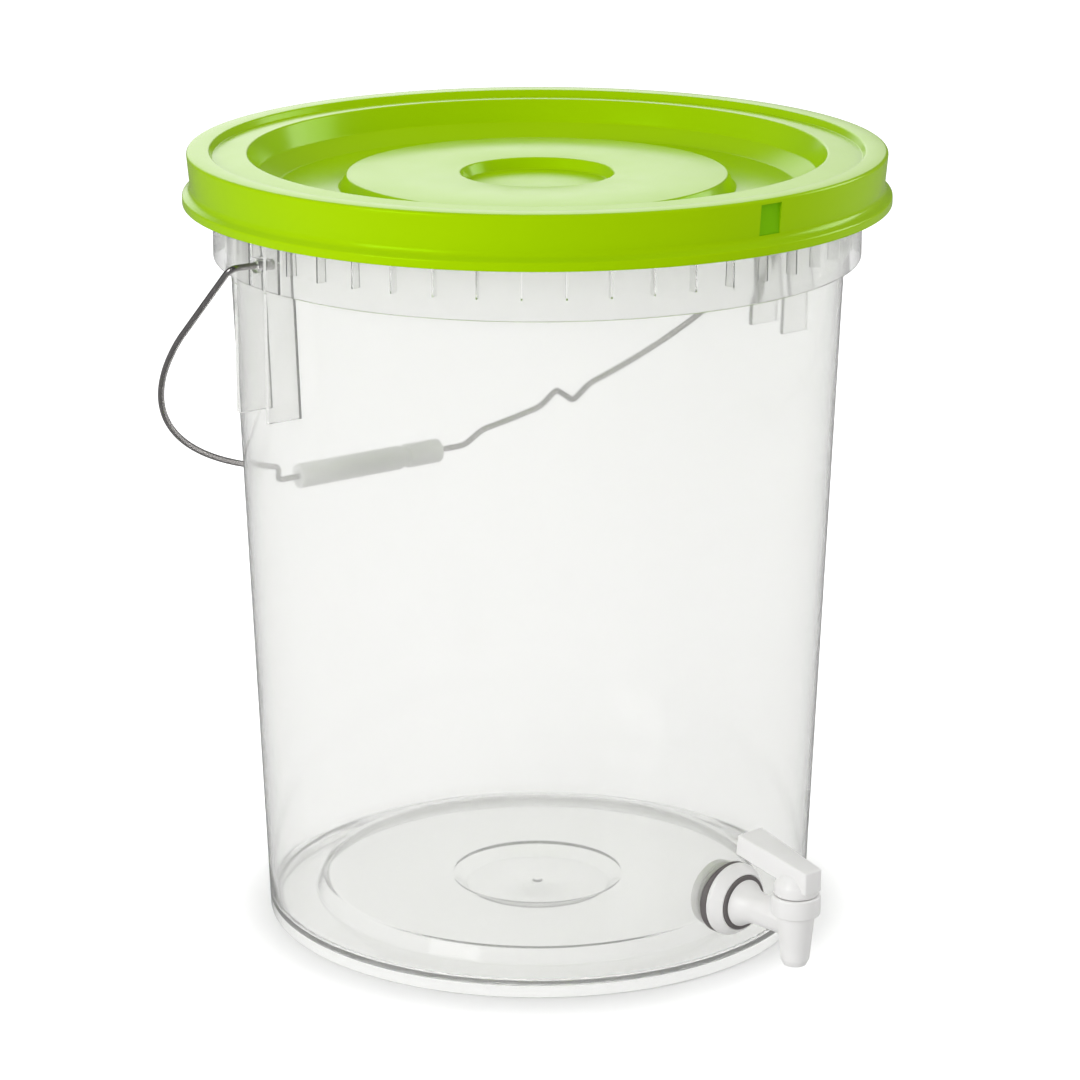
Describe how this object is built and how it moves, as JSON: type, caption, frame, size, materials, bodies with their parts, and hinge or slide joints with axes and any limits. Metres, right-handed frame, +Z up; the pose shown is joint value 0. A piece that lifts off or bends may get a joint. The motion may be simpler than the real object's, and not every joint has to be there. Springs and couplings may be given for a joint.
{
  "type": "lidded bucket with tap",
  "caption": "Clear tapered bucket with a green snap lid, a wire bail with a plastic grip, and a small plug tap near its foot for drawing off liquid.",
  "frame": {"origin": "centre of the whole part's box, on the ground that the foot ring stands on", "axes": "+Z up, the bail's hinge along X, the tap towards -Y, the bail resting on the wall at +Y"},
  "size_m": [0.3528, 0.3562, 0.3774],
  "materials": {
    "clear_plastic": "clear moulded, slightly hazy",
    "lime_plastic": "glossy moulded",
    "galvanised_wire": "galvanised, satin",
    "grip_plastic": "satin moulded, translucent white",
    "tap_plastic": "satin moulded white",
    "dark_rubber": "matte",
    "pale_rubber": "matte, off-white"
  },
  "bodies": {
    "bucket": {"bucket": "clear_plastic", "tap_flange": "tap_plastic", "washer_outer": "dark_rubber", "washer_inner": "pale_rubber", "lock_nut": "tap_plastic", "stem_seal": "dark_rubber", "tap_body": "tap_plastic"},
    "lid": {"lid": "lime_plastic"},
    "bail": {"bail_wire": "galvanised_wire"},
    "grip": {"bail_grip": "grip_plastic"},
    "handle": {"tap_handle": "tap_plastic", "tap_plug": "tap_plastic", "plug_seal_upper": "dark_rubber", "plug_seal_lower": "dark_rubber"}
  },
  "joints": [
    {"name": "lid_lift", "type": "slide", "parent": "bucket", "child": "lid", "axis": [0, 0, 1], "range_m": [0, 0.08]},
    {"name": "bail_swing", "type": "hinge", "parent": "bucket", "child": "bail", "pos_m": [0, 0.01077, 0.3397], "axis": [1, 0, 0], "range_deg": [0, 270.8]},
    {"name": "grip_spin", "type": "hinge", "parent": "bail", "child": "grip", "pos_m": [0, 0.15736, 0.19073], "axis": [1, 0, 0], "continuous": true},
    {"name": "tap_turn", "type": "hinge", "parent": "bucket", "child": "handle", "pos_m": [0.01865, -0.16667, 0], "axis": [0, 0, 1], "range_deg": [0, 90]}
  ]
}
